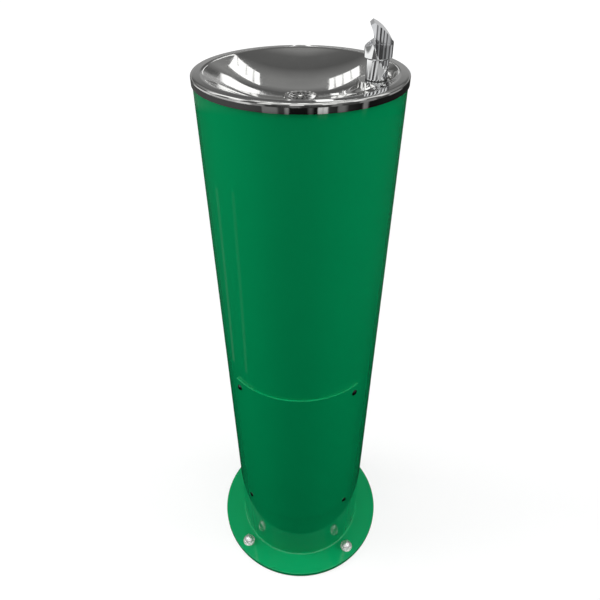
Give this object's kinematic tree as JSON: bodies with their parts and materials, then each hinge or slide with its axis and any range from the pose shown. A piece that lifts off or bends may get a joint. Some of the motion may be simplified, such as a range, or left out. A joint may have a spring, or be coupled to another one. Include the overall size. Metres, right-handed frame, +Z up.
{
  "type": "pedestal drinking fountain",
  "caption": "Round pedestal drinking fountain: painted tube column on a bolted floor plate, polished dished bowl, press-down bubbler with a mouth guard, waste trap and stop valve inside.",
  "frame": {"origin": "centre of the floor plate's underside, on the column's axis", "axes": "+Z up along the column; the access panel faces -Y; the bubbler stands on the +X side of the bowl"},
  "size_m": [0.336, 0.336, 0.9803],
  "materials": {
    "green_paint": "gloss powder coat",
    "polished_stainless": "mirror polished stainless steel",
    "drain_stainless": "satin stainless steel",
    "chrome": "chrome-plated brass",
    "black_steel": "black oxide",
    "zinc_steel": "zinc plated",
    "spring_steel": "bright drawn stainless",
    "black_rubber": "matt EPDM",
    "black_plastic": "moulded nylon",
    "white_plastic": "moulded polypropylene",
    "brass": "machined brass",
    "copper": "drawn copper tube",
    "red_lever": "dipped vinyl over steel"
  },
  "bodies": {
    "pedestal": {"base_plate": "green_paint", "pedestal_column": "green_paint", "access_panel": "green_paint", "panel_screws": "black_steel", "panel_rivet_nuts": "zinc_steel", "anchor_washers": "polished_stainless", "anchor_dome_nuts": "polished_stainless", "rim_seal": "black_rubber", "bowl": "polished_stainless", "bowl_screws": "polished_stainless", "bowl_rivet_nuts": "zinc_steel", "strainer_gasket": "black_rubber", "waste_strainer": "drain_stainless", "strainer_screw": "drain_stainless", "waste_gasket": "black_rubber", "waste_body": "white_plastic", "trap_inlet_nut": "white_plastic", "trap_body": "white_plastic", "trap_cup": "white_plastic", "trap_outlet_nut": "white_plastic", "waste_pipe": "white_plastic", "bracket_bar": "zinc_steel", "waste_pipe_clip": "black_plastic", "supply_pipe_clip": "black_plastic", "clip_screws": "zinc_steel", "supply_pipe": "copper", "valve_lower_nut": "brass", "stop_valve_body": "brass", "valve_upper_nut": "brass", "supply_tube": "copper", "tube_top_nut": "brass", "bubbler_stem": "chrome", "deck_gasket": "black_rubber", "bubbler_washer": "zinc_steel", "bubbler_locknut": "brass", "return_spring": "spring_steel"},
    "press_head": {"bubbler_head": "chrome", "mouth_guard": "chrome", "nozzle": "chrome", "head_grub_screw": "black_steel", "plunger": "brass", "valve_seal": "black_rubber"},
    "valve_lever": {"stop_valve_lever": "red_lever", "lever_nut": "zinc_steel", "stop_valve_spindle": "brass", "stop_valve_ball": "spring_steel"}
  },
  "joints": [
    {"name": "head_press", "type": "slide", "parent": "pedestal", "child": "press_head", "axis": [0, 0, -1], "range_m": [0, 0.005], "stiffness_N_per_m": 1000, "springref_m": -0.006, "deforming": ["return_spring"]},
    {"name": "lever_turn", "type": "hinge", "parent": "pedestal", "child": "valve_lever", "pos_m": [0.045, 0.073, 0.33], "axis": [0, -1, 0], "range_deg": [0, 90]}
  ]
}
